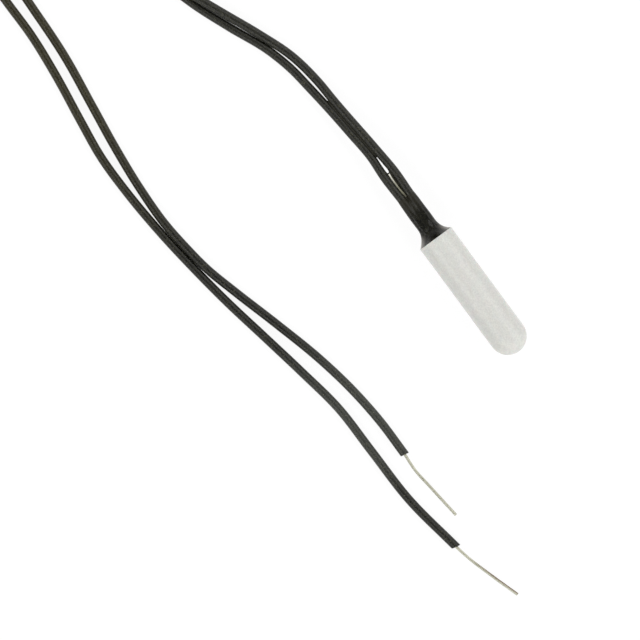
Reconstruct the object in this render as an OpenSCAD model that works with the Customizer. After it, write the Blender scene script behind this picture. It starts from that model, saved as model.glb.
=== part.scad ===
// Thermistor probe: a round-ended plastic cup, potted, with two stiff single wire leads.
// X runs along the cup from its mouth (the origin) to its tip, Z is up, and the
// cup and its leads lie on a level surface half a cup's diameter below the origin.

/* [Housing] */
// Outer diameter of the cup
housing_d = 6.35; // [5.6:0.05:10]
// Length of the cup from its mouth to its tip
housing_len = 23; // [21:0.5:40]
// Wall of the cup
housing_wall = 0.7; // [0.5:0.05:0.9]

/* [Leads] */
// Diameter over the insulation
lead_d = 1.45; // [1.3:0.05:1.6]
// Diameter of the solid conductor
core_d = 0.48; // [0.34:0.02:0.6]
// Space between the two leads where they enter the cup
lead_gap = 0.15; // [0.08:0.01:0.3]
// Shift of the pair of leads from the cup's axis
pair_shift = 0.1; // [-0.25:0.05:0.25]
// Length of insulated lead inside the cup
lead_depth = 6; // [4:0.5:6.5]
// Height that each bare end drops over its length, from the lead's axis
tip_drop = 0.48; // [0:0.02:0.48]

/* [Potting] */
// How far the resin climbs from the rim to the leads
meniscus_rise = 2.8; // [1.5:0.1:5]
// How hollow the climbing surface is: 1 is a straight cone
meniscus_power = 2.4; // [1.2:0.1:3.5]
// Length of the resin coat on the leads outside the cup
coat_len = 8; // [6:0.5:9]
// Thickness of that coat over the insulation
coat_skin = 0.12; // [0.04:0.01:0.15]
// Distance from the mouth to the end of the thin web between the leads
web_reach = 13.1; // [10:0.1:14]
// Thickness of that web
web_t = 0.3; // [0.15:0.05:0.5]
// Bare margin of the rim around the resin's foot
rim_ledge = 0.06; // [0.04:0.01:0.2]

/* [Thermistor] */
// Side of the square ceramic chip
chip_side = 1.2; // [0.8:0.1:1.4]
// Thickness of the chip
chip_t = 0.5; // [0.3:0.05:0.7]
// Thickness of the metal layer on each face of the chip
electrode_t = 0.05; // [0.04:0.01:0.08]
// Bare margin of the chip around that layer
electrode_margin = 0.05; // [0.03:0.01:0.1]
// Diameter of the coated bead
bead_d = 2.4; // [2.2:0.05:2.8]
// Gap between the bead and the inside of the cup's tip
bead_gap = 1.2; // [0.6:0.1:2]
// Diameter of the thermistor's own two leads
element_d = 0.26; // [0.2:0.02:0.3]

/* [Splices] */
// Length of conductor stripped bare inside the cup
strip_in = 3; // [2.4:0.1:3.5]
// Length of the lap between a conductor and a thermistor lead
lap_len = 2; // [1.2:0.1:2.2]
// Solder between two joined wires
solder_film = 0.02; // [0.01:0.005:0.04]
// Solder outside the joined wires
solder_skin = 0.04; // [0.03:0.01:0.06]
// Length of the insulating sleeve
sleeve_len = 5.9; // [5:0.1:7]
// Wall of the sleeve
sleeve_wall = 0.12; // [0.08:0.01:0.15]
// Space between the solder and the sleeve all round
sleeve_fit = 0.08; // [0.06:0.01:0.1]

/* [Hidden] */
$fn = 48;

// How far a cut runs past the face that it opens
cut_over = 1;

// Cup
bore_r = housing_d / 2 - housing_wall;
barrel_len = housing_len - housing_d / 2;

// Leads, which lie on the surface unless a route point lifts them
lead_pitch = lead_d + lead_gap;
lead_y = [pair_shift + lead_pitch / 2, pair_shift - lead_pitch / 2];
lead_sides = 8;
lying_z = lead_d / 2 - housing_d / 2;
mouth_lift = -lying_z;
ring_pitch = 3 * lead_d;
bare_ring_pitch = 1.5;

// Lead a's route from inside the cup to the end of its insulation: x, y, and how far
// the wire is lifted off the surface. It passes over lead b on each side of the turn.
route_a = [
    [lead_depth, lead_y[0], mouth_lift], [-1.5, lead_y[0], mouth_lift], [-8, 0.95, mouth_lift],
    [-13, 1.1, 2.3], [-17.1, 0.83, 2.1], [-28.3, -0.05, 1.02], [-32, -0.24, 0.6],
    [-38, -1.2, 0.3], [-44, -3.38, 0.66], [-50.5, -6.17, 0.85], [-57.5, -9.14, 1.35],
    [-65, -12.39, 1.55], [-73, -14.93, 0.65], [-82, -15.87, 0], [-91, -15.9, 0],
    [-99.5, -14.85, 0], [-109.5, -14.08, 0], [-113, -16.05, 0], [-115.6, -20.5, 0],
    [-115.6, -24.5, 0], [-112.2, -29.55, 0], [-108.7, -31.38, 0], [-98.7, -30.95, 0],
    [-94.2, -31.18, 0.75], [-87.2, -32.53, 1.55], [-80.2, -33.38, 0.75], [-73.2, -33.58, 0],
    [-66.2, -33.58, 0], [-58.2, -34.28, 0], [-50.2, -35.39, 0], [-43.2, -36.24, 0],
    [-36.2, -36.27, 0], [-28.2, -35.79, 0], [-19.2, -34.77, 0], [-12.2, -33.74, 0],
    [-3.7, -32.17, 0], [4.8, -30.62, 0], [12.8, -29.35, 0], [21.8, -29.14, 0],
    [31.8, -28.91, 0], [42.5, -27.31, 0]];

// Lead b's route, the outer one in the turn
route_b = [
    [lead_depth, lead_y[1], mouth_lift], [-1.5, lead_y[1], mouth_lift], [-8, -0.73, mouth_lift],
    [-13, -0.85, 2.2], [-17, -0.63, 1.76], [-22, -0.99, 1.2], [-28.3, -1.54, 0.57],
    [-32, -1.96, 0.2], [-36.5, -2.55, 0], [-41, -3.71, 0], [-48, -6.64, 0], [-55, -9.31, 0],
    [-62, -11.11, 0], [-70, -11.45, 0], [-79, -10.89, 0], [-89, -10.52, 0],
    [-100, -10.34, 0], [-110.5, -10.47, 0], [-119.1, -14, 0], [-122.6, -22.5, 0],
    [-119.2, -31, 0], [-110.7, -34.57, 0], [-101.2, -34.93, 0], [-92.2, -33.8, 0],
    [-84.2, -31.85, 0], [-76.2, -30.71, 0], [-68.2, -30.81, 0], [-60.2, -31.22, 0],
    [-51.2, -32.38, 0], [-43.2, -33.44, 0], [-35.2, -34.16, 0], [-28.2, -34.3, 0.35],
    [-23.2, -33.85, 0.4], [-18.2, -33.13, 0.35], [-12.7, -31.72, 0], [-4.2, -29.31, 0],
    [4.8, -26.98, 0], [11.9, -25.72, 0], [18.9, -25.09, 0], [25.5, -25.06, 0]];

// Bare ends beyond the insulation: x, y, and the share of the drop
bare_a = [[42.5, -27.31, 0], [45.3, -26.76, 0.2], [49.1, -25.68, 0.6], [55, -23.82, 1]];
bare_b = [[25.5, -25.06, 0], [28.4, -25.24, 0.2], [32.3, -24.87, 0.6], [38.5, -24.21, 1]];

// Resin outside the cup: shares of the rise at which a section is drawn
meniscus_steps = [0, 0.08, 0.18, 0.3, 0.45, 0.65, 1];
meniscus_sides = 32;
foot_r = housing_d / 2 - rim_ledge;
coat_r = lead_d / 2 + coat_skin;
plug_overlap = 0.1;
web_overlap = 1;
web_at = 3;
web_mid = (route_a[web_at].y + route_b[web_at].y) / 2;
web_z = (route_a[web_at].z - mouth_lift) / 2;
web_end_r = 0.25;
// Rings of each lead that the resin touches, and one more past them
potted_rings = 9;

// Thermistor
chip_x = housing_len - housing_wall - bead_gap - bead_d / 2;
electrode_side = chip_side - 2 * electrode_margin;
element_y = chip_t / 2 + electrode_t + solder_film + element_d / 2;
solder_fillet = 0.12;
solder_inset = 0.15;
tip_inset = 0.1;
chip_solder_r = element_d / 2 + solder_film + solder_fillet;
chip_solder_len = chip_side - 2 * solder_inset;
element_tip = chip_x + chip_solder_len / 2 - tip_inset;

// Neck of the bead: a cone that starts just under the ball's surface
neck_share = 0.95;
shoulder_turn = 30;
shoulder_sink = 0.02;
neck_r = element_y + element_d;
neck_x = chip_x - neck_share * bead_d;
shoulder_x = chip_x - bead_d / 2 * sin(shoulder_turn);
shoulder_r = (1 - shoulder_sink) * bead_d / 2 * cos(shoulder_turn);

// Splices
core_end = lead_depth + strip_in;
lap_start = core_end - lap_len;
lap_z = core_d / 2 + solder_film + element_d / 2;
splice_z = (lap_z + element_d / 2 - core_d / 2) / 2;
splice_r = (lap_z + element_d / 2 + core_d / 2) / 2 + solder_skin;
splice_reach = 0.3;
splice_taper = 0.35;
splice_end_share = 0.6;
sleeve_r = splice_r + sleeve_fit;
sleeve_end = lead_depth + sleeve_len;
bend_clear = 0.3;
bend_start = sleeve_end + bend_clear;
bend_end = neck_x - bend_clear;
bend_steps = 6;

function unit(v) = v / norm(v);

// Direction of a route at one of its points, level where the wire lies on the surface
function heading(p, i) =
    i == 0 ? unit(p[1] - p[0]) :
    i == len(p) - 1 ? unit(p[i] - p[i - 1]) :
    let (a = norm(p[i] - p[i - 1]), b = norm(p[i + 1] - p[i]),
         m = ((p[i] - p[i - 1]) * b / a + (p[i + 1] - p[i]) * a / b) / (a + b))
    [m.x, m.y, p[i].z == 0 ? 0 : m.z];

// Point at share t of the smooth curve from point i to the next one
function along(p, i, t) =
    let (d = norm(p[i + 1] - p[i]))
    (2 * t^3 - 3 * t^2 + 1) * p[i] + (t^3 - 2 * t^2 + t) * d * heading(p, i)
    + (3 * t^2 - 2 * t^3) * p[i + 1] + (t^3 - t^2) * d * heading(p, i + 1);

// Centre line through all points, split so that rings lie about one pitch apart at most
function centre_line(p, pitch) = [
    for (i = [0:len(p) - 2])
        let (n = ceil(norm(p[i + 1] - p[i]) / pitch - 0.2))
        for (k = [0:n - 1]) along(p, i, k / n),
    p[len(p) - 1]];

line_a = [for (q = centre_line(route_a, ring_pitch)) [q.x, q.y, q.z + lying_z]];
line_b = [for (q = centre_line(route_b, ring_pitch)) [q.x, q.y, q.z + lying_z]];

function bare_line(p) =
    [for (q = centre_line(p, bare_ring_pitch)) [q.x, q.y, lying_z - q.z * tip_drop]];

function first(list, n) = [for (i = [0:n - 1]) list[i]];
function last_step(p) = unit(p[len(p) - 1] - p[len(p) - 2]);

// Direction of a centre line at ring i
function ring_heading(p, i, start) =
    i == 0 ? (start == undef ? unit(p[1] - p[0]) : start) :
    i == len(p) - 1 ? last_step(p) : unit(p[i + 1] - p[i - 1]);

// Skin over a list of rings, each running anticlockwise when seen from the last ring
module loft(rings) {
    sides = len(rings[0]);
    count = len(rings) * sides;
    skin = [
        for (i = [0:len(rings) - 2]) for (k = [0:sides - 1])
            let (a = i * sides + k, b = i * sides + (k + 1) % sides)
            each [[a, a + sides, b], [b, a + sides, b + sides]]];
    near_cap = [for (k = [0:sides - 1]) k];
    far_cap = [for (k = [0:sides - 1]) count - 1 - k];
    polyhedron([for (ring = rings) each ring], concat(skin, [near_cap, far_cap]));
}

// Wire swept along a centre line
module wire(p, d, start = undef) {
    loft([
        for (i = [0:len(p) - 1])
            let (t = ring_heading(p, i, start), s = unit(cross([0, 0, 1], t)), u = cross(t, s))
            [for (k = [0:lead_sides - 1])
                let (a = k * 360 / lead_sides) p[i] + d / 2 * (cos(a) * s + sin(a) * u)]]);
}

// Insulated lead, cut square inside the cup
module lead(line) {
    wire(line, lead_d, [-1, 0, 0]);
}

// Round rod along X
module rod(x0, x1, r, y = 0, z = 0) {
    translate([x0, y, z]) rotate([0, 90, 0]) cylinder(h = x1 - x0, r = r);
}

// Solid turned about a line along X, from an outline of radius and distance
module turned(y = 0, z = 0) {
    translate([0, y, z]) rotate([0, 90, 0]) rotate_extrude() children();
}

// Space inside the cup, from a given place near its mouth
module cavity(x0) {
    rod(x0, barrel_len, bore_r);
    translate([barrel_len, 0, 0]) sphere(r = bore_r);
}

module sensor_housing() {
    color("gainsboro") difference() {
        union() {
            rod(0, barrel_len, housing_d / 2);
            translate([barrel_len, 0, 0]) sphere(r = housing_d / 2);
        }
        cavity(-cut_over);
    }
}

// Section of the resin outside the cup: the leads' outline blended towards the round foot
function meniscus_ring(x, share) = [
    for (k = [0:meniscus_sides - 1])
        let (a = (k + 0.5) * 360 / meniscus_sides,
             near = [pair_shift + sign(cos(a)) * lead_pitch / 2 + coat_r * cos(a),
                     coat_r * sin(a)],
             q = near + share * (foot_r * [cos(a), sin(a)] - near))
        [x, q.x, q.y]];

// Resin that climbs from the rim up the leads, and its coat on them
module meniscus() {
    steps = len(meniscus_steps);
    loft(concat(
        [meniscus_ring(-coat_len, 0)],
        [for (i = [1:steps])
            let (t = meniscus_steps[steps - i])
            meniscus_ring(-meniscus_rise * t, pow(1 - t, meniscus_power))]));
}

// Thin web that bridges the two leads past the coat, with a hollow end
module web() {
    translate([0, 0, web_z - web_t / 2]) linear_extrude(web_t) difference() {
        translate([-web_reach, lead_y[1]])
            square([web_reach - coat_len + web_overlap, lead_pitch]);
        translate([-web_reach, web_mid]) circle(r = web_end_r);
    }
}

module potting_resin() {
    color("#1c1c1a") difference() {
        union() {
            cavity(-plug_overlap);
            meniscus();
            web();
        }
        for (line = [line_a, line_b]) lead(first(line, potted_rings));
        for (i = [0, 1]) {
            core(i);
            sleeve(i);
            splice_outline(i);
            element_wire(i);
        }
        bead_outline();
    }
}

// Drop-shaped outside of the dipped bead, with its neck towards the mouth
module bead_outline() {
    turned() {
        intersection() {
            translate([0, chip_x]) circle(d = bead_d);
            translate([0, chip_x - bead_d]) square([bead_d, 2 * bead_d]);
        }
        polygon([[0, neck_x], [neck_r, neck_x], [shoulder_r, shoulder_x], [0, shoulder_x]]);
    }
}

module bead_coating() {
    color("#2b2f2c") difference() {
        bead_outline();
        chip();
        for (i = [0, 1]) {
            electrode(i);
            chip_solder_outline(i);
            element_wire(i);
        }
    }
}

module chip() {
    translate([chip_x, 0, 0]) cube([chip_side, chip_t, chip_side], center = true);
}

// Side of the part on which piece i of a pair lies: 1 for a, -1 for b
function side(i) = 1 - 2 * i;

module electrode(i) {
    translate([chip_x, side(i) * (chip_t + electrode_t) / 2, 0])
        cube([electrode_side, electrode_t, electrode_side], center = true);
}

// Half-round bead of solder along a thermistor lead, flat on its electrode
module chip_solder_outline(i) {
    face_y = chip_t / 2 + electrode_t;
    intersection() {
        rod(chip_x - chip_solder_len / 2, chip_x + chip_solder_len / 2, chip_solder_r,
            side(i) * element_y);
        translate([chip_x, side(i) * (face_y + bead_d / 2), 0])
            cube([bead_d, bead_d, bead_d], center = true);
    }
}

// Thermistor lead: straight through the sleeve, eased in towards the chip, straight along it
function element_line(i) = concat(
    [[lap_start, lead_y[i], lap_z]],
    [for (k = [0:bend_steps])
        let (t = k / bend_steps, ease = (3 - 2 * t) * t^2)
        [bend_start + t * (bend_end - bend_start),
         lead_y[i] + ease * (side(i) * element_y - lead_y[i]), (1 - ease) * lap_z]],
    [[element_tip, side(i) * element_y, 0]]);

module element_wire(i) {
    wire(element_line(i), element_d);
}

module core(i) {
    rod(lead_depth, core_end, core_d / 2, lead_y[i]);
}

// Spindle of solder around the lap
module splice_outline(i) {
    x0 = lap_start - splice_reach;
    x1 = core_end + splice_reach;
    turned(lead_y[i], splice_z)
        polygon([[0, x0], [splice_end_share * splice_r, x0], [splice_r, x0 + splice_taper],
                 [splice_r, x1 - splice_taper], [splice_end_share * splice_r, x1], [0, x1]]);
}

module sleeve(i) {
    difference() {
        rod(lead_depth, sleeve_end, sleeve_r + sleeve_wall, lead_y[i], splice_z);
        rod(lead_depth - cut_over, sleeve_end + cut_over, sleeve_r, lead_y[i], splice_z);
    }
}

module thermistor_chip() {
    color("#3a3a40") chip();
}

module chip_electrode(i) {
    color("silver") electrode(i);
}

module chip_solder(i) {
    color("#a8a8a4") difference() {
        chip_solder_outline(i);
        element_wire(i);
    }
}

module element_lead(i) {
    color("#b8b4a8") element_wire(i);
}

module splice_solder(i) {
    color("#a8a8a4") difference() {
        splice_outline(i);
        core(i);
        element_wire(i);
    }
}

module splice_sleeve(i) {
    color("#b98a3c") sleeve(i);
}

module stripped_core(i) {
    color("#b9b7a6") core(i);
}

module lead_wire(line) {
    color("#34342f") lead(line);
}

// Bare tinned conductor beyond the insulation, flush with its cut end
module tinned_end(points, line) {
    color("#b9b7a6") wire(bare_line(points), core_d, last_step(line));
}

sensor_housing();
potting_resin();
bead_coating();
thermistor_chip();
chip_electrode(0);  // chip_electrode_a
chip_electrode(1);  // chip_electrode_b
chip_solder(0);  // chip_solder_a
chip_solder(1);  // chip_solder_b
element_lead(0);  // element_lead_a
element_lead(1);  // element_lead_b
splice_solder(0);  // splice_solder_a
splice_solder(1);  // splice_solder_b
splice_sleeve(0);  // splice_sleeve_a
splice_sleeve(1);  // splice_sleeve_b
stripped_core(0);  // stripped_core_a
stripped_core(1);  // stripped_core_b
lead_wire(line_a);  // lead_wire_a
lead_wire(line_b);  // lead_wire_b
tinned_end(bare_a, line_a);  // tinned_end_a
tinned_end(bare_b, line_b);  // tinned_end_b
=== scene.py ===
import math
import bpy
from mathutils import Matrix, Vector, noise


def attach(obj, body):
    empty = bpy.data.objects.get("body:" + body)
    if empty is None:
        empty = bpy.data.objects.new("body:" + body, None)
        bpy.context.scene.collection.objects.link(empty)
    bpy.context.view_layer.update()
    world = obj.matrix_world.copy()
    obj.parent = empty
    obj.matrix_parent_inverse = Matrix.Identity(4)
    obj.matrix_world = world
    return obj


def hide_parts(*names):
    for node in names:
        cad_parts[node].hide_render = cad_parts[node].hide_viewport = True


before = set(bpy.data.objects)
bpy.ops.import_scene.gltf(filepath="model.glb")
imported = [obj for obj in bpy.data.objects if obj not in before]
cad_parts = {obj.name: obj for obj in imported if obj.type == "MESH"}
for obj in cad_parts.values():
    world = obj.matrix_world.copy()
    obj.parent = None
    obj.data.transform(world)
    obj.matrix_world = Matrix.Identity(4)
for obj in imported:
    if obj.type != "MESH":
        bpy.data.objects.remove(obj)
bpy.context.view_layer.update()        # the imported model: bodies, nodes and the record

mm = 0.001               # sizes below are in millimetres, Blender works in metres
print("frame loaded:", len(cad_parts), "nodes")


# camera: straight down on the probe, through a long lens
cameraSettings = {
    "centre": (-0.476, -23.177),    # x and y under the middle of the picture
    "width": 104.77,        # what the picture spans at the level of the cup's axis
    "turn": 53.6,           # degrees that the picture's right side is turned from +X
    "lens": 400,            # focal length
    "sensor": 36,
}


def placeCamera(s):
    lens = bpy.data.cameras.new("camera")
    lens.lens, lens.sensor_width = s["lens"], s["sensor"]
    camera = bpy.data.objects.new("camera", lens)
    height = s["width"] * s["lens"] / s["sensor"]
    camera.location = Vector((s["centre"][0], s["centre"][1], height)) * mm
    camera.rotation_euler = (0, 0, math.radians(s["turn"]))
    bpy.context.scene.collection.objects.link(camera)
    bpy.context.scene.camera = camera


placeCamera(cameraSettings)
print("camera placed")


# the two leads, which leave the cup side by side and end bare
leadSettings = {
    "diameter": 1.45,
    "floor": -3.175,        # level that the leads lie on, under the cup's axis
    "sides": 28,
    "pitch": 0.9,           # between rings along the insulation
    "wander": 0.006,        # share by which the extruded diameter wanders
    "wanderLength": 6,
    "endBevel": 0.07,
    "boreGap": 0.03,        # insulation stands this far off the conductor at its cut end
    "boreDepth": 0.3,
    "ragged": 0.07,         # tear of the cut end
    "tearScale": 2.2,       # how often it changes round the end
}
bareEndSettings = {
    "diameter": 0.48,
    "drop": 0.48,           # how far it drops from its lead to the floor
    "sides": 20,
    "pitch": 0.35,
    "dent": 0.02,           # share of the radius by which handling has dented it
    "dentLength": 0.9,
    # small burr-free chamfer of the cut: length beyond the last ring, share of the radius
    "chamfer": [(0.015, 0.93), (0.03, 0.8)],
}
lyingHeight = leadSettings["diameter"] / 2 + leadSettings["floor"]
mouthLift = -lyingHeight

# the leads' routes, as in the part's source: x, y and lift above lying on the floor
routeA = [
    (6, 0.9, mouthLift), (-1.5, 0.9, mouthLift), (-8, 0.95, mouthLift), (-13, 1.1, 2.3),
    (-17.1, 0.83, 2.1), (-28.3, -0.05, 1.02), (-32, -0.24, 0.6), (-38, -1.2, 0.3),
    (-44, -3.38, 0.66), (-50.5, -6.17, 0.85), (-57.5, -9.14, 1.35), (-65, -12.39, 1.55),
    (-73, -14.93, 0.65), (-82, -15.87, 0), (-91, -15.9, 0), (-99.5, -14.85, 0),
    (-109.5, -14.08, 0), (-113, -16.05, 0), (-115.6, -20.5, 0), (-115.6, -24.5, 0),
    (-112.2, -29.55, 0), (-108.7, -31.38, 0), (-98.7, -30.95, 0), (-94.2, -31.18, 0.75),
    (-87.2, -32.53, 1.55), (-80.2, -33.38, 0.75), (-73.2, -33.58, 0), (-66.2, -33.58, 0),
    (-58.2, -34.28, 0), (-50.2, -35.39, 0), (-43.2, -36.24, 0), (-36.2, -36.27, 0),
    (-28.2, -35.79, 0), (-19.2, -34.77, 0), (-12.2, -33.74, 0), (-3.7, -32.17, 0),
    (4.8, -30.62, 0), (12.8, -29.35, 0), (21.8, -29.14, 0), (31.8, -28.91, 0),
    (42.5, -27.31, 0)]
routeB = [
    (6, -0.7, mouthLift), (-1.5, -0.7, mouthLift), (-8, -0.73, mouthLift), (-13, -0.85, 2.2),
    (-17, -0.63, 1.76), (-22, -0.99, 1.2), (-28.3, -1.54, 0.57), (-32, -1.96, 0.2),
    (-36.5, -2.55, 0), (-41, -3.71, 0), (-48, -6.64, 0), (-55, -9.31, 0), (-62, -11.11, 0),
    (-70, -11.45, 0), (-79, -10.89, 0), (-89, -10.52, 0), (-100, -10.34, 0),
    (-110.5, -10.47, 0), (-119.1, -14, 0), (-122.6, -22.5, 0), (-119.2, -31, 0),
    (-110.7, -34.57, 0), (-101.2, -34.93, 0), (-92.2, -33.8, 0), (-84.2, -31.85, 0),
    (-76.2, -30.71, 0), (-68.2, -30.81, 0), (-60.2, -31.22, 0), (-51.2, -32.38, 0),
    (-43.2, -33.44, 0), (-35.2, -34.16, 0), (-28.2, -34.3, 0.35), (-23.2, -33.85, 0.4),
    (-18.2, -33.13, 0.35), (-12.7, -31.72, 0), (-4.2, -29.31, 0), (4.8, -26.98, 0),
    (11.9, -25.72, 0), (18.9, -25.09, 0), (25.5, -25.06, 0)]
# the bare ends' routes: x, y and the share of the drop
bareA = [(42.5, -27.31, 0), (45.3, -26.76, 0.2), (49.1, -25.68, 0.6), (55, -23.82, 1)]
bareB = [(25.5, -25.06, 0), (28.4, -25.24, 0.2), (32.3, -24.87, 0.6), (38.5, -24.21, 1)]


def headingAt(points, i):
    # the route's direction at a point, level where the lead lies on the floor
    if i == 0:
        return (points[1] - points[0]).normalized()
    if i == len(points) - 1:
        return (points[i] - points[i - 1]).normalized()
    before, after = points[i] - points[i - 1], points[i + 1] - points[i]
    a, b = before.length, after.length
    mix = (before * b / a + after * a / b) / (a + b)
    return Vector((mix.x, mix.y, 0 if points[i].z == 0 else mix.z))


def centreLine(route, pitch):
    points = [Vector(p) for p in route]
    line = []
    for i in range(len(points) - 1):
        p, q = points[i], points[i + 1]
        span = (q - p).length
        m, n = headingAt(points, i) * span, headingAt(points, i + 1) * span
        steps = math.ceil(span / pitch)
        for k in range(steps):
            t = k / steps
            line.append((2 * t**3 - 3 * t**2 + 1) * p + (t**3 - 2 * t**2 + t) * m
                        + (3 * t**2 - 2 * t**3) * q + (t**3 - t**2) * n)
    return line + [points[-1]]


def ringHeading(line, i):
    return (line[min(i + 1, len(line) - 1)] - line[max(i - 1, 0)]).normalized()


def skin(name, rings, unrolled=None, sharpAngle=40):
    # closed mesh over a list of rings, each running anticlockwise seen from the last one
    sides = len(rings[0])
    faces = []
    for i in range(len(rings) - 1):
        for k in range(sides):
            a, b = i * sides + k, i * sides + (k + 1) % sides
            faces.append((a, a + sides, b + sides, b))
    last = (len(rings) - 1) * sides
    faces += [tuple(range(sides)), tuple(last + sides - 1 - k for k in range(sides))]
    mesh = bpy.data.meshes.new(name)
    mesh.from_pydata([p * mm for ring in rings for p in ring], [], faces)
    if unrolled:
        # straightened-out coordinates, so that a pattern follows the wire
        layer = mesh.attributes.new("unrolled", "FLOAT_VECTOR", "POINT")
        layer.data.foreach_set("vector", [c * mm for ring in unrolled for p in ring for c in p])
    mesh.shade_smooth()
    mesh.set_sharp_from_angle(angle=math.radians(sharpAngle))
    piece = bpy.data.objects.new(name, mesh)
    bpy.context.scene.collection.objects.link(piece)
    return piece


def tubeRing(centre, t, radius, sides, travel):
    # one ring square to direction t, with its straightened-out twin
    side = Vector((0, 0, 1)).cross(t).normalized()
    up = t.cross(side)
    ring, flat = [], []
    for k in range(sides):
        a = 2 * math.pi * k / sides
        ring.append(centre + radius * (math.cos(a) * side + math.sin(a) * up))
        flat.append(Vector((radius * math.cos(a), radius * math.sin(a), travel)))
    return ring, flat


def travelled(line):
    total = [0]
    for p, q in zip(line, line[1:]):
        total.append(total[-1] + (q - p).length)
    return total


def makeLead(name, route, slant, extra, seed):
    # insulation from inside the cup to its cut end, which has a bevel, a tear and a bore
    s = leadSettings
    line = [p + Vector((0, 0, lyingHeight)) for p in centreLine(route, s["pitch"])]
    travel = travelled(line)
    radius, sides = s["diameter"] / 2, s["sides"]
    rings, flats = [], []
    for i, p in enumerate(line[:-1]):
        wander = 1 + s["wander"] * noise.noise(Vector((travel[i] / s["wanderLength"], seed, 0)))
        t = Vector((-1, 0, 0)) if i == 0 else ringHeading(line, i)
        ring, flat = tubeRing(p, t, radius * wander, sides, travel[i])
        rings.append(ring)
        flats.append(flat)
    t = ringHeading(line, len(line) - 1)
    side = Vector((0, 0, 1)).cross(t).normalized()
    bore = bareEndSettings["diameter"] / 2 + s["boreGap"]
    narrow = bore - 0.3 * s["boreGap"]
    bevel, lobes = s["endBevel"], s["tearScale"]
    # place along the lead from its cut, radius, share of the tear
    endShape = [(-3 * bevel, radius, 0.3), (-bevel, radius, 1),
                (-0.3 * bevel, radius - 0.3 * bevel, 1), (0, radius - bevel, 1),
                (0, (radius + bore) / 2, 0.6), (0, bore, 0.3),
                (-0.3 * bevel, narrow, 0.2), (-s["boreDepth"], narrow, 0)]
    for along, r, tear in endShape:
        along += extra
        slanted = slant * min(1, tear + 0.4)        # the slant reaches deeper in than the tear
        ring, flat = tubeRing(line[-1] + along * t, t, r, sides, travel[-1] + along)
        for k, p in enumerate(ring):
            a = 2 * math.pi * k / sides
            torn = noise.noise(Vector((lobes * math.cos(a), lobes * math.sin(a), seed)))
            across = (p - line[-1]).dot(side)
            ring[k] = p + t * (slanted * across + s["ragged"] * tear * torn)
        rings.append(ring)
        flats.append(flat)
    return skin(name, rings, flats), [p * mm for p in line]


def makeBareEnd(name, bare, seed):
    # solid conductor, starting inside the insulation's bore and cut square at its tip
    s = bareEndSettings
    fallen = [(x, y, lyingHeight - share * s["drop"]) for x, y, share in bare]
    line = centreLine(fallen, s["pitch"])
    line = [line[0] - ringHeading(line, 0) * leadSettings["boreDepth"]] + line
    travel = travelled(line)
    radius, sides = s["diameter"] / 2, s["sides"]
    rings, flats = [], []
    for i, p in enumerate(line):
        dent = 1 + s["dent"] * noise.noise(Vector((travel[i] / s["dentLength"], seed, 3)))
        ring, flat = tubeRing(p, ringHeading(line, i), radius * dent, sides, travel[i])
        rings.append(ring)
        flats.append(flat)
    t = ringHeading(line, len(line) - 1)
    for beyond, share in s["chamfer"]:
        ring, flat = tubeRing(line[-1] + beyond * t, t, radius * share, sides, travel[-1] + beyond)
        rings.append(ring)
        flats.append(flat)
    return skin(name, rings, flats), travel[-1]


leadA, pathA = makeLead("leadA", routeA, slant=0.40, extra=0.22, seed=1.7)
leadB, pathB = makeLead("leadB", routeB, slant=0.19, extra=0.05, seed=5.2)
bareEndA, bareLengthA = makeBareEnd("bareEndA", bareA, seed=2.9)
bareEndB, bareLengthB = makeBareEnd("bareEndB", bareB, seed=8.4)
for piece, path, node, bareEnd, bareNode, y in (
        (leadA, pathA, "lead_wire_a", bareEndA, "tinned_end_a", 0.9),
        (leadB, pathB, "lead_wire_b", bareEndB, "tinned_end_b", -0.7)):
    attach(piece, "root")
    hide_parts(node)
    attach(bareEnd, "root")
    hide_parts(bareNode)


# cup: off-white, with a round tip and an open mouth
cupSettings = {
    "radius": 3.175,        # at the mouth
    "waist": 3.125,         # of the rest
    "flare": 0.7,           # length over which the wall widens to the mouth
    "bore": 2.475,
    "barrel": 19.825,       # mouth to the start of the round tip
    "lip": 0.09,            # rounding of the mouth's outer edge
    "innerLip": 0.05,
    "sides": 112,
    "tipSteps": 26,
    "boreSteps": 12,
    "innerLipSteps": 4,
    "lipSteps": 6,
    # rings of the wall, closer together where it flares
    "wall": (0.2, 0.4, 0.6, 0.9, 1.3, 1.8, 2.5, 4, 7, 10, 13, 16, 18),
}


def turnedRing(x, radius, sides):
    turns = [2 * math.pi * k / sides for k in range(sides)]
    return [Vector((x, radius * math.cos(a), radius * math.sin(a))) for a in turns]


def cupProfile(s):
    # from the middle of the inside of the tip, out over the lip and round to the tip
    inside, outside = [], []
    for i in range(1, s["tipSteps"] + 1):
        a = math.pi / 2 * i / s["tipSteps"]
        inside.append((s["barrel"] + s["bore"] * math.cos(a), s["bore"] * math.sin(a)))
        outside.append((s["barrel"] + s["radius"] * math.cos(a), s["waist"] * math.sin(a)))
    bore = [(s["barrel"] * (1 - i / s["boreSteps"]), s["bore"]) for i in range(1, s["boreSteps"])]
    widening = s["radius"] - s["waist"]
    wall = [(x, s["waist"] + widening * math.exp(-x / s["flare"])) for x in s["wall"]]
    lips = []
    for i in range(s["innerLipSteps"] + 1):
        a = math.pi / 2 * i / s["innerLipSteps"]
        lips.append((s["innerLip"] * (1 - math.sin(a)),
                     s["bore"] + s["innerLip"] * (1 - math.cos(a))))
    for i in range(s["lipSteps"] + 1):
        a = math.pi / 2 * i / s["lipSteps"]
        lips.append((s["lip"] * (1 - math.cos(a)), s["radius"] - s["lip"] * (1 - math.sin(a))))
    return inside + bore + lips + wall + outside[::-1]


cup = skin("cup", [turnedRing(x, r, cupSettings["sides"]) for x, r in cupProfile(cupSettings)])
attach(cup, "root")
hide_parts("sensor_housing")
print("cup turned")


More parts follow.
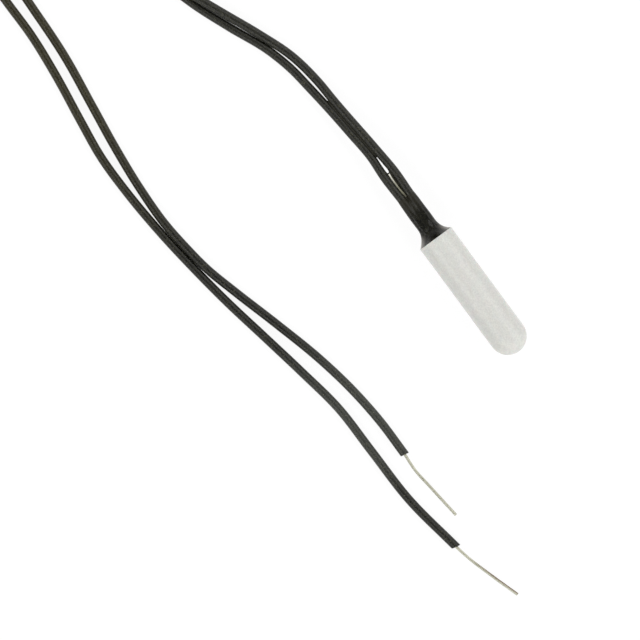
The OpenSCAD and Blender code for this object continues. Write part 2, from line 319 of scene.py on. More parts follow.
# potting resin: fills the cup, climbs from its rim to the leads and coats them for a short way
resinSettings = {
    "rise": 2.8,            # length of the climb from the rim to the leads
    "hollow": 2.4,          # how hollow the climbing surface is
    "bunching": 1.4,        # how much closer its rings stand at the rim
    "foot": 3.115,          # radius at which it meets the rim
    "coat": 8.35,           # how far the coat reaches along the leads
    "skin": 0.15,           # over the insulation
    "skinEnd": 0.006,       # where the coat feathers out
    "feather": 3,           # how late it thins out to that
    "webHalf": 0.08,        # half the thickness of the resin between the leads at the coat's end
    "sink": 2.4,            # how late the resin between the leads thins out to that
    "valley": 0.1,          # rounding of the groove between the leads
    "lean": 0.08,           # how far the climbing surface sits towards -Y halfway up
    "ripple": 0.03,         # the surface's unevenness, drawn out along the leads
    "rippleLength": 2.4,
    "rippleRound": 1.5,     # how often it changes per millimetre round them
    "rippleStart": 1.5,     # it reaches its full height this far from the rim
    # bulges on top of the climbing resin: x, y, height, then the reach along x and along y
    "lumps": [(-2.4, 1.1, 0.34, 0.6, 0.4), (-1.9, -0.85, 0.26, 0.3, 0.45)],
    "plugGap": 0.01,        # keeps the plug's mesh off the bore
    "sides": 128,
    "climbSteps": 28,
    "coatSteps": 26,
    "tipSteps": 12,
}


def leadAt(path, x):
    # centre of a lead where it passes a given x near the cup, in millimetres
    for p, q in zip(path, path[1:]):
        if q.x / mm <= x:
            t = (x - p.x / mm) / ((q.x - p.x) / mm)
            return (p + (q - p) * t) / mm
    return path[-1] / mm


def valleyHeight(offset, half, reach, between):
    # top of the groove between the leads at an offset from the pair's middle
    crown = math.sqrt(max(0, reach**2 - (half - abs(offset))**2))
    blend = resinSettings["valley"]
    return min((crown + between + math.sqrt((crown - between)**2 + blend**2)) / 2, reach)


def pairOutline(half, reach, between, count):
    # closed outline in yz round both leads, from straight below lead a, at equal steps
    steps, dense = 48, []
    for sign in (1, -1):
        for k in range(steps + 1):
            a = -math.pi / 2 + math.pi * k / steps
            dense.append((sign * (half + reach * math.cos(a)), sign * reach * math.sin(a)))
        for k in range(1, steps):
            offset = sign * half * (1 - 2 * k / steps)
            dense.append((offset, sign * valleyHeight(offset, half, reach, between)))
    closed = dense + dense[:1]
    lengths = [0]
    for p, q in zip(closed, closed[1:]):
        lengths.append(lengths[-1] + math.dist(p, q))
    outline, i = [], 0
    for k in range(count):
        goal = lengths[-1] * k / count
        while lengths[i + 1] < goal:
            i += 1
        t = (goal - lengths[i]) / (lengths[i + 1] - lengths[i])
        outline.append([a + (b - a) * t for a, b in zip(closed[i], closed[i + 1])])
    return outline


def footAngle(k):
    # where outline point k lands on the round foot
    s = resinSettings
    spacing = leadAt(pathA, 0).y - leadAt(pathB, 0).y
    reach = leadSettings["diameter"] / 2 + s["skin"]
    # the outline starts this far round from straight down
    start = math.pi * spacing / 2 / (math.pi * reach + spacing)
    return -math.pi / 2 + start + 2 * math.pi * k / s["sides"]


def resinRing(x, share, reach, between):
    # a section at x: the pair's outline where share is 0, the foot's circle where it is 1
    s = resinSettings
    a, b = leadAt(pathA, x), leadAt(pathB, x)
    middle, half = (a + b) / 2, (a.y - b.y) / 2
    ring = []
    for k, (y, z) in enumerate(pairOutline(half, reach, between, s["sides"])):
        turn = footAngle(k)
        near = Vector((x, middle.y + y, middle.z + z))
        foot = Vector((x, s["foot"] * math.cos(turn), s["foot"] * math.sin(turn)))
        bump = noise.noise(Vector((x / s["rippleLength"],
                                   s["rippleRound"] * near.y, s["rippleRound"] * near.z)))
        out = Vector((0, y - max(-half, min(half, y)), z))
        thinned = min(1, (reach - leadSettings["diameter"] / 2) / s["skin"])
        fade = min(1, -x / s["rippleStart"]) * (1 - share) * thinned
        near += out.normalized() * s["ripple"] * bump * fade
        p = near.lerp(foot, share)
        p.y -= s["lean"] * 4 * share * (1 - share)      # nothing at both ends, all of it halfway
        if p.z > 0:
            for lumpX, lumpY, height, reachX, reachY in s["lumps"]:
                p.z += height * math.exp(-((x - lumpX) / reachX)**2 - ((p.y - lumpY) / reachY)**2)
        ring.append(p)
    return ring


def makeResin():
    s = resinSettings
    gap = s["plugGap"]
    bore, barrel = cupSettings["bore"] - gap, cupSettings["barrel"]
    turns = [footAngle(k) for k in range(s["sides"])]
    profile = []
    for i in range(1, s["tipSteps"] + 1):
        a = math.pi / 2 * i / s["tipSteps"]
        profile.append((barrel + bore * math.cos(a), bore * math.sin(a)))
    profile += [(12, bore), (4, bore), (gap, bore), (gap, s["foot"] - 2 * gap), (0, s["foot"])]
    rings = [[Vector((x, r * math.cos(a), r * math.sin(a))) for a in turns] for x, r in profile]
    radius = leadSettings["diameter"] / 2
    reach = radius + s["skin"]
    for i in range(1, s["climbSteps"] + 1):
        t = (i / s["climbSteps"])**s["bunching"]
        rings.append(resinRing(-s["rise"] * t, (1 - t)**s["hollow"], reach, reach))
    for i in range(1, s["coatSteps"] + 1):
        t = i / s["coatSteps"]
        between = reach + (s["webHalf"] - reach) * t**s["sink"]
        thin = reach + (s["skinEnd"] - s["skin"]) * t**s["feather"]
        rings.append(resinRing(-s["rise"] - (s["coat"] - s["rise"]) * t, 0, thin, between))
    return skin("resin", rings, sharpAngle=60)


resin = makeResin()
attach(resin, "root")
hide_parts("potting_resin")
print("resin cast")


# resin between the leads past the coat: a dark run along each lead and a clear film between the
# runs with a strand at its end. Further on, a dark fill along the seam is painted shade, standing
# in for the shade where the two leads touch.
runSettings = {
    "start": 8.1,
    "end": 14.9,            # past the film
    "bite": 0.12,           # how far it runs in under its lead's surface
    "height": (0.36, 0.09),     # half its height at the lead and at the film
    "thinning": 0.6,        # share of the height at the lead that is gone at its end
    "uneven": 0.25,         # share by which its height wanders
}
filmSettings = {
    "start": 8.1,
    "end": 13.25,
    # its edges and those of the gap beyond it: x, then the lower and the upper y
    "edges": [(-8, 0.08, 0.24), (-8.8, 0.02, 0.28), (-9.4, -0.04, 0.2), (-10, -0.08, 0.13),
              (-11, -0.085, 0.13), (-12, -0.075, 0.12), (-12.8, -0.04, 0.19),
              (-13.3, -0.03, 0.26), (-13.6, -0.055, 0.34), (-14.2, -0.05, 0.32),
              (-15, -0.01, 0.24)],
    "thickness": 0.14,
    "middle": 0.7,          # share of the thickness halfway between its edges
    "tuck": 0.04,           # how far its rims lie inside the runs
}
strandSettings = {
    "radius": 0.1,
    "spread": 0.9,          # share by which it widens towards the leads
    "bow": 0.12,            # how far it bows towards the cup
}
seamShadeSettings = {
    "start": 16.4,
    "end": 28.7,
    "height": 0.36,         # half its height in the seam
    "uneven": 0.12,         # share by which that wanders
    "wanderLength": 1.3,
    "taper": 1.2,           # length over which each end thins out
    "blunt": 0.1,           # how much of the taper is cut off
    "bite": 0.06,           # how far it runs in under the leads' surfaces
    "rim": 0.04,            # how far it creeps up them
    "dip": 0.01,
}


def betweenLeads(x):
    # the two points just under the leads' facing surfaces
    a, b = leadAt(pathA, x), leadAt(pathB, x)
    inward = (b - a).normalized() * (leadSettings["diameter"] / 2 - runSettings["bite"])
    return a + inward, b - inward


def filmEdges(x):
    # the clear film's two edges, lead a's side first
    a, b = betweenLeads(x)
    edges = filmSettings["edges"]
    for (x0, low0, high0), (x1, low1, high1) in zip(edges, edges[1:]):
        if x1 <= x <= x0:
            t = (x0 - x) / (x0 - x1)
            low, high = low0 + (low1 - low0) * t, high0 + (high1 - high0) * t
    slope = (b.z - a.z) / (b.y - a.y)
    return [Vector((x, y, a.z + slope * (y - a.y))) for y in (high, low)]


def makeRun(name, side, seed):
    # side 0 runs along lead a, side 1 along lead b
    s = runSettings
    atLead, atFilm = s["height"]
    rings, steps, columns = [], 46, 9
    for i in range(steps + 1):
        t = i / steps
        x = -s["start"] - (s["end"] - s["start"]) * t
        root, edge = betweenLeads(x)[side], filmEdges(x)[side]
        upper, lower = [], []
        for k in range(columns):
            u = 0.99 * k / (columns - 1)        # short of 1, so that the rim keeps a height
            half = atLead * (1 - u)**2 * (1 - s["thinning"] * t) + atFilm * math.sqrt(1 - u**2)
            half *= 1 + s["uneven"] * noise.noise(Vector((12 * t, 2 * u, seed)))
            p = root.lerp(edge, u)
            upper.append(p + Vector((0, 0, half)))
            lower.append(p - Vector((0, 0, half)))
        rings.append(upper + lower[::-1] if side else lower + upper[::-1])
    return skin(name, rings, sharpAngle=60)


def makeFilm():
    s = filmSettings
    rings, steps, columns = [], 34, 9
    for i in range(steps + 1):
        x = -s["start"] - (s["end"] - s["start"]) * i / steps
        a, b = filmEdges(x)
        under = (a - b).normalized() * s["tuck"]
        upper, lower = [], []
        for k in range(columns):
            u = k / (columns - 1)
            p = (a + under).lerp(b - under, u)
            half = s["thickness"] / 2 * (s["middle"] + (1 - s["middle"]) * (2 * u - 1)**2)
            upper.append(p + Vector((0, 0, half)))
            lower.append(p - Vector((0, 0, half)))
        rings.append(lower + upper[::-1])
    return skin("resinFilm", rings, sharpAngle=60)


def makeStrand():
    s = strandSettings
    a, b = betweenLeads(-filmSettings["end"])
    rings, steps, sides = [], 12, 16
    turns = [2 * math.pi * k / sides for k in range(sides)]
    for i in range(steps + 1):
        u = i / steps
        centre = a.lerp(b, u) + Vector((s["bow"] * (1 - (2 * u - 1)**2), 0, 0))
        radius = s["radius"] * (1 + s["spread"] * (2 * u - 1)**2)
        rings.append([centre + radius * Vector((math.cos(turn), 0, -math.sin(turn)))
                      for turn in turns])
    return skin("resinStrand", rings)


def makeSeamShade():
    # painted shade: a dark fill in the seam's groove from above and below, in place of the shade
    # between the touching leads; wider upwards, as the leads' surfaces part
    s = seamShadeSettings
    start, end, taper = s["start"], s["end"], s["taper"]
    radius = leadSettings["diameter"] / 2
    rings, steps = [], 56
    for i in range(steps + 1):
        x = -start - (end - start) * i / steps
        a, b = leadAt(pathA, x), leadAt(pathB, x)
        across = Vector((0, a.y - b.y, a.z - b.z))
        apart = across.length
        across.normalize()
        up = Vector((0, -across.z, across.y))
        ends = min(1, (-x - start + s["blunt"]) / taper, (end + x + s["blunt"]) / taper)
        uneven = 1 + s["uneven"] * noise.noise(Vector((x / s["wanderLength"], 2.2, 0)))
        height = s["height"] * ends**0.5 * uneven
        reach = apart / 2 - math.sqrt(radius**2 - height**2) + s["bite"]
        waist = apart / 2 - radius + s["bite"]
        flank = 0.6 * waist + 0.4 * reach
        # upper half of the section: across and up from the middle of the seam
        shape = [(waist, 0), (flank, 0.6 * height), (reach, height + s["rim"]),
                 (0.5 * reach, height), (0, height - s["dip"]), (-0.5 * reach, height),
                 (-reach, height + s["rim"]), (-flank, 0.6 * height)]
        shape += [(-side, -rise) for side, rise in shape]
        rings.append([(a + b) / 2 + side * across + rise * up for side, rise in reversed(shape)])
    return skin("seamShadeFill", rings, sharpAngle=60)


resinFilm = makeFilm()
darkResinAndSeamShade = [makeRun("resinRunA", 0, 4.1), makeRun("resinRunB", 1, 7.6), makeStrand(), makeSeamShade()]
for piece in [resinFilm] + darkResinAndSeamShade:
    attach(piece, "root")
print("film, runs, strand and bond drawn out")


# materials: sRGB hex colours, pattern sizes in millimetres
def hexToLinear(code):
    parts = [int(code[i:i + 2], 16) / 255 for i in (1, 3, 5)]
    return [p / 12.92 if p <= 0.04045 else ((p + 0.055) / 1.055)**2.4 for p in parts] + [1.0]


def addNode(owner, kind, settings=None, links=None):
    # one node: settings go to its sockets, its ramp or its own properties, links to its sockets
    node = owner.node_tree.nodes.new(kind)
    for key, value in (settings or {}).items():
        if key == "ramp":
            while len(node.color_ramp.elements) < len(value):
                node.color_ramp.elements.new(0.5)
            for element, (position, code) in zip(node.color_ramp.elements, value):
                element.position, element.color = position, hexToLinear(code)
        elif isinstance(key, int) or key in node.inputs:
            node.inputs[key].default_value = value
        else:
            setattr(node, key, value)
    for key, source in (links or {}).items():
        owner.node_tree.links.new(source, node.inputs[key])
    return node


def newFinish(name, s):
    # a Principled material with its fixed values set on the shader itself
    material = bpy.data.materials.new(name)
    material.use_nodes = True
    shader = material.node_tree.nodes["Principled BSDF"]
    for key, value in s["shader"].items():
        shader.inputs[key].default_value = value
    return material, shader


def patternPlace(material, s):
    # solid coordinates in metres; a drawn piece has its straightened-out ones, stretched lengthwise
    if s.get("drawn"):
        place = addNode(material, "ShaderNodeAttribute", {"attribute_name": "unrolled"})
        return addNode(material, "ShaderNodeMapping", {"Scale": (1, 1, 1 / s["drawn"])},
                       {"Vector": place.outputs["Vector"]}).outputs["Vector"]
    return addNode(material, "ShaderNodeTexCoord").outputs["Object"]


def addFinish(material, shader, s):
    # colour, roughness and relief from two noises of real size; gives back the first two
    place = patternPlace(material, s)
    broad = addNode(material, "ShaderNodeTexNoise", {"Scale": 1 / (s["patch"] * mm), "Detail": 3.0},
                    {"Vector": place}).outputs["Fac"]
    fine = addNode(material, "ShaderNodeTexNoise",
                   {"Scale": 1 / (s["grain"] * mm), "Detail": 3.0, "Roughness": 0.6},
                   {"Vector": place}).outputs["Fac"]
    mixed = addNode(material, "ShaderNodeMix", {"Factor": s.get("grainShare", 0.5)},
                    {2: broad, 3: fine}).outputs[0]
    soft = s.get("soft", 0.14)      # half the ramp's width: less gives more contrast
    ramp = [(0.5 - soft, s["dark"]), (0.5 + soft, s["light"])]
    colour = addNode(material, "ShaderNodeValToRGB", {"ramp": ramp},
                     {"Fac": mixed}).outputs["Color"]
    material.node_tree.links.new(colour, shader.inputs["Base Color"])
    low, high = s["roughness"]
    rough = addNode(material, "ShaderNodeMapRange",
                    {"From Min": 0.35, "From Max": 0.65, "To Min": low, "To Max": high},
                    {"Value": mixed}).outputs["Result"]
    material.node_tree.links.new(rough, shader.inputs["Roughness"])
    bump = addNode(material, "ShaderNodeBump",
                   {"Strength": s.get("bump", 0.6), "Distance": s["relief"] * mm}, {"Height": fine})
    material.node_tree.links.new(bump.outputs["Normal"], shader.inputs["Normal"])
    return colour, rough


def shareAlong(material, axis, start, end):
    # 0 to 1 between two positions along an axis, in millimetres
    place = addNode(material, "ShaderNodeTexCoord").outputs["Object"]
    position = addNode(material, "ShaderNodeSeparateXYZ", None, {"Vector": place}).outputs[axis]
    return addNode(material, "ShaderNodeMapRange", {"From Min": start * mm, "From Max": end * mm},
                   {"Value": position}).outputs["Result"]


def plainFinish(name, s):
    material, shader = newFinish(name, s)
    addFinish(material, shader, s)
    return material


# moulded ABS: even off-white with a satin face and the faint grain of the mould.
# That grain is some 0.05 mm, drawn at 0.24 mm so that it shows.
absSettings = {
    "dark": "#d0d0cb", "light": "#e3e3dd", "patch": 0.5, "grain": 0.24, "grainShare": 0.75,
    "roughness": (0.32, 0.40), "relief": 0.013,
    "shader": {"IOR": 1.54, "Subsurface Weight": 0.1, "Subsurface Scale": 0.4 * mm},
}

# extruded PVC: charcoal and satin, with painted sheen that comes and goes along the leads, and fine
# die lines and scuffs along the wire.
# Die lines are a few hundredths of a millimetre apart, drawn at 0.2 mm.
pvcSettings = {
    "dark": "#020201", "light": "#1c1c13", "soft": 0.05,
    "patch": 0.6, "grain": 0.2, "grainShare": 0.8,
    "roughness": (0.18, 0.44), "relief": 0.08, "drawn": 1.3,
    "scuff": "#77745c", "scuffSize": 0.22, "scuffShare": 0.38,
    # painted sheen added to the charcoal, standing in for the lamps' reflections that come and go
    # with the leads' heading: on the way out, and on the way back by share of its reach in x
    "outPaintedSheen": "#141410",
    "wayBack": (-18, -24),  # y over which the way out gives over to the way back
    "paintedSheenReach": (-70, 45),
    "paintedSheen": [(0.15, "#211d04"), (0.43, "#010100"), (0.6, "#090906"), (0.72, "#333531"),
              (0.82, "#2e302c"), (0.87, "#0a0a07")],
    "shader": {"IOR": 1.5, "Specular IOR Level": 0.33},
}

# cast epoxy: black and glossy as it cured, with a slow ripple, thinning to a stain on the leads
epoxySettings = {
    "dark": "#030301", "light": "#1a190e", "soft": 0.07,
    "patch": 0.8, "grain": 0.28, "grainShare": 0.65,
    "roughness": (0.10, 0.27), "relief": 0.09, "bump": 0.7,
    "scuff": "#56564a", "scuffSize": 0.3, "scuffShare": 0.32,
    "stain": "#242216", "stainRough": 0.5,
    "stainLength": 4,       # of the coat's end
    "feather": "#969189",   # where it wets out thin over the lip, at both sides; that pale grey is partly the thin resin and partly painted reflection of the floor
    "featherAndReflectionReach": (-1.7, -0.3),   # x over which that grows towards the lip
    "featherAndReflectionSide": (0.74, 0.3),     # sines of the angle above level over which it grows downwards
    "shader": {"IOR": 1.5, "Specular IOR Level": 0.28},
}

# drawn epoxy film: the same resin, so thin that the floor shows through it, browner near the coat
drawnFilmSettings = {
    "colours": [(0.0, "#f2f1e6"), (0.22, "#cccabc"), (0.42, "#9a9987"), (0.62, "#84836f"),
                (0.82, "#716f5d"), (0.96, "#4a483c")],
    "cloud": 0.5, "cloudShare": 0.06,
    "relief": 0.03, "bump": 0.4,
    "shader": {"IOR": 1.5, "Transmission Weight": 1.0, "Roughness": 0.3},
}

# drawn tinned copper: warm grey metal, dull from handling, with faint lines from the die.
# The lines are finer than 0.05 mm, drawn at 0.1 mm.
tinnedSettings = {
    "dark": "#a5a492", "light": "#cfcebd", "patch": 0.7, "grain": 0.1, "grainShare": 0.5,
    "roughness": (0.30, 0.45), "relief": 0.008, "drawn": 5,
    "copper": "#61452a",
    "wornSide": (0.05, 0.13),   # distance off the middle over which the tin wears through
    "wornReach": (0.25, 0.6),   # and shares of the length over which it does
    "cutEdge": 0.02,        # bare copper starts this far beyond the length
    "shader": {"Metallic": 1.0},
}


def scuffed(material, colour, s):
    # flecks of a paler colour over the given one, where the noise stands highest
    flecks = addNode(material, "ShaderNodeTexNoise",
                     {"Scale": 1 / (s["scuffSize"] * mm), "Detail": 3.0, "Roughness": 0.6},
                     {"Vector": patternPlace(material, s)}).outputs["Fac"]
    share = addNode(material, "ShaderNodeMapRange",
                    {"From Min": 0.57, "From Max": 0.68, "To Max": s["scuffShare"]},
                    {"Value": flecks}).outputs["Result"]
    return addNode(material, "ShaderNodeMix", {"data_type": "RGBA", 7: hexToLinear(s["scuff"])},
                   {0: share, 6: colour}).outputs[2]


def makePvc(s):
    material, shader = newFinish("extrudedPvc", s)
    colour = addFinish(material, shader, s)[0]
    # painted sheen: the charcoal is lightened along stretches of the leads, in place of the lamps'
    # reflections
    paintedSheen = addNode(material, "ShaderNodeValToRGB", {"ramp": s["paintedSheen"]},
                    {"Fac": shareAlong(material, "X", *s["paintedSheenReach"])}).outputs["Color"]
    paintedSheen = addNode(material, "ShaderNodeMix", {"data_type": "RGBA", 6: hexToLinear(s["outPaintedSheen"])},
                    {0: shareAlong(material, "Y", *s["wayBack"]), 7: paintedSheen}).outputs[2]
    withPaintedSheen = addNode(material, "ShaderNodeMix", {"data_type": "RGBA", "blend_type": "ADD", 0: 1.0},
                      {6: scuffed(material, colour, s), 7: paintedSheen}).outputs[2]
    material.node_tree.links.new(withPaintedSheen, shader.inputs["Base Color"])
    return material


def makeEpoxy(s):
    material, shader = newFinish("castEpoxy", s)
    colour, rough = addFinish(material, shader, s)
    coat = resinSettings["coat"]
    thin = shareAlong(material, "X", -coat + s["stainLength"], -coat)
    stained = addNode(material, "ShaderNodeMix", {"data_type": "RGBA", 7: hexToLinear(s["stain"])},
                      {0: thin, 6: scuffed(material, colour, s)}).outputs[2]
    dulled = addNode(material, "ShaderNodeMix", {3: s["stainRough"]},
                     {0: thin, 2: rough}).outputs[0]
    # direction away from the cup's axis, and how much of it is upward
    place = addNode(material, "ShaderNodeTexCoord").outputs["Object"]
    outward = addNode(material, "ShaderNodeVectorMath", {"operation": "MULTIPLY", 1: (0, 1, 1)},
                      {0: place}).outputs[0]
    outward = addNode(material, "ShaderNodeVectorMath", {"operation": "NORMALIZE"},
                      {0: outward}).outputs[0]
    upward = addNode(material, "ShaderNodeSeparateXYZ", None, {"Vector": outward}).outputs["Z"]
    # paler at both sides near the lip: partly thin resin, partly a painted reflection of the pale
    # floor at the sides
    top, side = s["featherAndReflectionSide"]
    beside = addNode(material, "ShaderNodeMapRange", {"From Min": top, "From Max": side},
                     {"Value": upward}).outputs["Result"]
    feather = addNode(material, "ShaderNodeMath", {"operation": "MULTIPLY"},
                      {0: beside, 1: shareAlong(material, "X", *s["featherAndReflectionReach"])}).outputs[0]
    featheredAndReflecting = addNode(material, "ShaderNodeMix",
                        {"data_type": "RGBA", 7: hexToLinear(s["feather"])},
                        {0: feather, 6: stained}).outputs[2]
    material.node_tree.links.new(featheredAndReflecting, shader.inputs["Base Color"])
    material.node_tree.links.new(dulled, shader.inputs["Roughness"])
    return material


def makeDrawnFilm(s):
    material, shader = newFinish("drawnEpoxyFilm", s)
    near = shareAlong(material, "X", -filmSettings["end"], -filmSettings["start"])
    cloud = addNode(material, "ShaderNodeTexNoise", {"Scale": 1 / (s["cloud"] * mm), "Detail": 2.0},
                    {"Vector": patternPlace(material, s)}).outputs["Fac"]
    uneven = addNode(material, "ShaderNodeMapRange",
                     {"From Min": 0.3, "From Max": 0.7,
                      "To Min": -s["cloudShare"], "To Max": s["cloudShare"]},
                     {"Value": cloud}).outputs["Result"]
    share = addNode(material, "ShaderNodeMath", {"operation": "ADD"}, {0: near, 1: uneven})
    tint = addNode(material, "ShaderNodeValToRGB", {"ramp": s["colours"]},
                   {"Fac": share.outputs[0]})
    material.node_tree.links.new(tint.outputs["Color"], shader.inputs["Base Color"])
    bump = addNode(material, "ShaderNodeBump",
                   {"Strength": s["bump"], "Distance": s["relief"] * mm}, {"Height": cloud})
    material.node_tree.links.new(bump.outputs["Normal"], shader.inputs["Normal"])
    return material


def makeTinned(name, s, length, wornShare):
    # bare copper shows on the cut tip and, where the tin has rubbed off, down one side
    material, shader = newFinish(name, s)
    colour = addFinish(material, shader, s)[0]
    place = addNode(material, "ShaderNodeAttribute", {"attribute_name": "unrolled"})
    parts = addNode(material, "ShaderNodeSeparateXYZ", None, {"Vector": place.outputs["Vector"]})
    low, high = s["wornSide"]
    side = addNode(material, "ShaderNodeMapRange", {"From Min": low * mm, "From Max": high * mm},
                   {"Value": parts.outputs["X"]}).outputs["Result"]
    start, full = s["wornReach"]
    along = addNode(material, "ShaderNodeMapRange",
                    {"From Min": start * length * mm, "From Max": full * length * mm,
                     "To Max": wornShare}, {"Value": parts.outputs["Z"]}).outputs["Result"]
    worn = addNode(material, "ShaderNodeMath", {"operation": "MULTIPLY"}, {0: side, 1: along})
    cut = addNode(material, "ShaderNodeMath",
                  {"operation": "GREATER_THAN", 1: (length + s["cutEdge"]) * mm},
                  {0: parts.outputs["Z"]})
    bare = addNode(material, "ShaderNodeMath", {"operation": "MAXIMUM"},
                   {0: worn.outputs[0], 1: cut.outputs[0]}).outputs[0]
    mixed = addNode(material, "ShaderNodeMix", {"data_type": "RGBA", 7: hexToLinear(s["copper"])},
                    {0: bare, 6: colour}).outputs[2]
    material.node_tree.links.new(mixed, shader.inputs["Base Color"])
    return material


hiddenFinishes = {
    # dipped epoxy over the bead: dark green-black, glossy as it set
    "dippedEpoxy": {"dark": "#1b211c", "light": "#2c332d", "patch": 0.8, "grain": 0.3,
                    "roughness": (0.15, 0.30), "relief": 0.01, "shader": {"IOR": 1.55},
                    "nodes": ["bead_coating"]},
    # sintered oxide ceramic: near-black and matt, with the grain of the pressed powder
    "sinteredOxide": {"dark": "#232327", "light": "#3a3a3f", "patch": 0.5, "grain": 0.12,
                      "roughness": (0.60, 0.80), "relief": 0.004, "shader": {"IOR": 1.7},
                      "nodes": ["thermistor_chip"]},
    # fired silver paste: pale and slightly rough, as screen printed and burnt in
    "firedSilver": {"dark": "#c4c2bb", "light": "#dddbd4", "patch": 0.4, "grain": 0.12,
                    "roughness": (0.40, 0.55), "relief": 0.004, "shader": {"Metallic": 1.0},
                    "nodes": ["chip_electrode_a", "chip_electrode_b"]},
    # soft solder: satin grey, frozen with a slight orange peel
    "softSolder": {"dark": "#9a9a94", "light": "#bcbcb5", "patch": 0.5, "grain": 0.15,
                   "roughness": (0.25, 0.40), "relief": 0.006, "shader": {"Metallic": 1.0},
                   "nodes": ["chip_solder_a", "chip_solder_b",
                             "splice_solder_a", "splice_solder_b"]},
    # tinned steel wire: the thermistor's own leads, drawn and bright
    "tinnedSteelWire": {"dark": "#aaa79c", "light": "#c8c5ba", "patch": 0.5, "grain": 0.1,
                        "roughness": (0.22, 0.35), "relief": 0.003, "shader": {"Metallic": 1.0},
                        "nodes": ["element_lead_a", "element_lead_b"]},
    # polyimide tube: amber, smooth and glossy, wound from film and cured
    "polyimideTube": {"dark": "#a8651b", "light": "#c98432", "patch": 0.8, "grain": 0.2,
                      "roughness": (0.12, 0.20), "relief": 0.003, "shader": {"IOR": 1.7},
                      "nodes": ["splice_sleeve_a", "splice_sleeve_b"]},
    # tinned copper, freshly stripped inside the cup and so brighter than the bare ends
    "strippedTinnedCopper": {"dark": "#b5b2a4", "light": "#d0cdc0", "patch": 0.6, "grain": 0.12,
                             "roughness": (0.20, 0.32), "relief": 0.003,
                             "shader": {"Metallic": 1.0},
                             "nodes": ["stripped_core_a", "stripped_core_b"]},
}
for name, finish in hiddenFinishes.items():
    material = plainFinish(name, finish)
    for node in finish["nodes"]:
        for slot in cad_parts[node].material_slots:
            slot.material = material

cup.data.materials.append(plainFinish("mouldedAbs", absSettings))
resin.data.materials.append(makeEpoxy(epoxySettings))
# the runs, the strand and the seam fill of painted shade take the resin's black
for piece in darkResinAndSeamShade:
    piece.data.materials.append(resin.data.materials[0])
resinFilm.data.materials.append(makeDrawnFilm(drawnFilmSettings))
extrudedPvc = makePvc(pvcSettings)
for piece in (leadA, leadB):
    piece.data.materials.append(extrudedPvc)
bareEndA.data.materials.append(makeTinned("tinnedCopperWorn", tinnedSettings, bareLengthA, 0.95))
bareEndB.data.materials.append(makeTinned("tinnedCopper", tinnedSettings, bareLengthB, 0.15))
print("materials made")


# floor, world and lamps
lightSettings = {
    "paper": "#f0f0f0",
    "paperHalf": 2.0,       # half the floor's side
    "glow": 0.88,           # share of white that the floor shows even in shade
    "litWhite": 1.05,       # what that and the light on the paper come to together
    "skyTop": 0.38,         # strength straight above, in the gap between the lamps
    "skyRim": 0.2,          # strength at the horizon
    "backdrop": (0.03, 0.3),    # sines of the heights where the white backdrop ends and is gone
    "aim": (-20, -15, 0),   # point that the lamps face
    "distance": 0.9,        # of the lamps from it
    "length": 2.4,          # of the two side lamps, along the cup
    "tipTilt": 76,          # a third lamp, low beyond the cup's round tip
    "tipSize": (0.5, 1.0),
    "tipWatts": 2.0,
    "lamps": {              # name: tilt in degrees from straight above, width, watts
        "leftSoftbox": (48, 0.66, 7.8),
        "rightSoftbox": (-48, 0.44, 6.7),
    },
}


def seenDirectly(owner):
    # 1 for rays that should see the white background: from the camera, off gloss, through film
    path = addNode(owner, "ShaderNodeLightPath")
    result = path.outputs["Is Camera Ray"]
    for ray in ("Is Glossy Ray", "Is Transmission Ray"):
        result = addNode(owner, "ShaderNodeMath", {"operation": "MAXIMUM"},
                         {0: result, 1: path.outputs[ray]}).outputs[0]
    return result


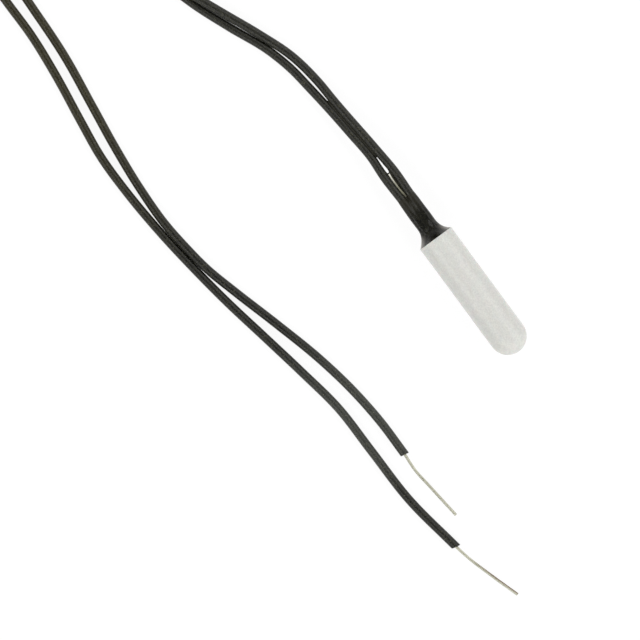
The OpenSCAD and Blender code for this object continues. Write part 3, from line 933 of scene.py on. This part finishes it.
def makeFloor(s):
    half = s["paperHalf"]
    mesh = bpy.data.meshes.new("floor")
    corners = [(-half, -half, 0), (half, -half, 0), (half, half, 0), (-half, half, 0)]
    mesh.from_pydata(corners, [], [(0, 1, 2, 3)])
    floor = bpy.data.objects.new("floor", mesh)
    floor.location.z = -cupSettings["radius"] * mm
    bpy.context.scene.collection.objects.link(floor)
    paper = bpy.data.materials.new("seamlessPaper")
    paper.use_nodes = True
    tree = paper.node_tree
    tree.nodes.remove(tree.nodes["Principled BSDF"])
    plain = addNode(paper, "ShaderNodeBsdfDiffuse", {"Color": hexToLinear(s["paper"])})
    rest = s["litWhite"] - s["glow"]
    faint = addNode(paper, "ShaderNodeBsdfDiffuse", {"Color": (rest, rest, rest, 1)})
    glow = addNode(paper, "ShaderNodeEmission", {"Strength": s["glow"]})
    seen = addNode(paper, "ShaderNodeAddShader", None, {0: faint.outputs[0], 1: glow.outputs[0]})
    mix = addNode(paper, "ShaderNodeMixShader", None,
                  {0: seenDirectly(paper), 1: plain.outputs[0], 2: seen.outputs[0]})
    tree.links.new(mix.outputs[0], tree.nodes["Material Output"].inputs["Surface"])
    mesh.materials.append(paper)


def makeSky(s):
    # a dim tent lights the probe; its white backdrop shows along the horizon, also in reflections
    world = bpy.data.worlds.new("lightTent")
    bpy.context.scene.world = world
    world.use_nodes = True
    tree = world.node_tree
    direction = addNode(world, "ShaderNodeTexCoord").outputs["Generated"]
    height = addNode(world, "ShaderNodeSeparateXYZ", None, {"Vector": direction}).outputs["Z"]
    tent = addNode(world, "ShaderNodeMapRange",
                   {"To Min": s["skyRim"], "To Max": s["skyTop"],
                    "interpolation_type": "SMOOTHSTEP"}, {"Value": height}).outputs["Result"]
    low, high = s["backdrop"]
    behind = addNode(world, "ShaderNodeMapRange",
                     {"From Min": low, "From Max": high, "To Min": 1.0, "To Max": s["skyTop"]},
                     {"Value": height}).outputs["Result"]
    strength = addNode(world, "ShaderNodeMix", None,
                       {0: seenDirectly(world), 2: tent, 3: behind}).outputs[0]
    tree.links.new(strength, tree.nodes["Background"].inputs["Strength"])
    tree.nodes["Background"].inputs["Color"].default_value = (1, 1, 1, 1)


def makeLamp(name, direction, turn, size, watts, s):
    # a softbox in the given direction from the probe, facing it
    lamp = bpy.data.lights.new(name, "AREA")
    lamp.shape, lamp.size, lamp.size_y, lamp.energy = "RECTANGLE", size[0], size[1], watts
    softbox = bpy.data.objects.new(name, lamp)
    softbox.location = Vector(s["aim"]) * mm + s["distance"] * Vector(direction)
    softbox.rotation_euler = turn
    bpy.context.scene.collection.objects.link(softbox)


def makeLamps(s):
    for name, (tilt, width, watts) in s["lamps"].items():
        a = math.radians(tilt)
        makeLamp(name, (0, math.sin(a), math.cos(a)), (-a, 0, 0), (s["length"], width), watts, s)
    a = math.radians(s["tipTilt"])
    makeLamp("tipSoftbox", (math.sin(a), 0, math.cos(a)), (0, a, 0), s["tipSize"], s["tipWatts"], s)


makeFloor(lightSettings)
makeSky(lightSettings)
makeLamps(lightSettings)
bpy.context.scene.view_settings.view_transform = "Standard"
print("floor and light set")
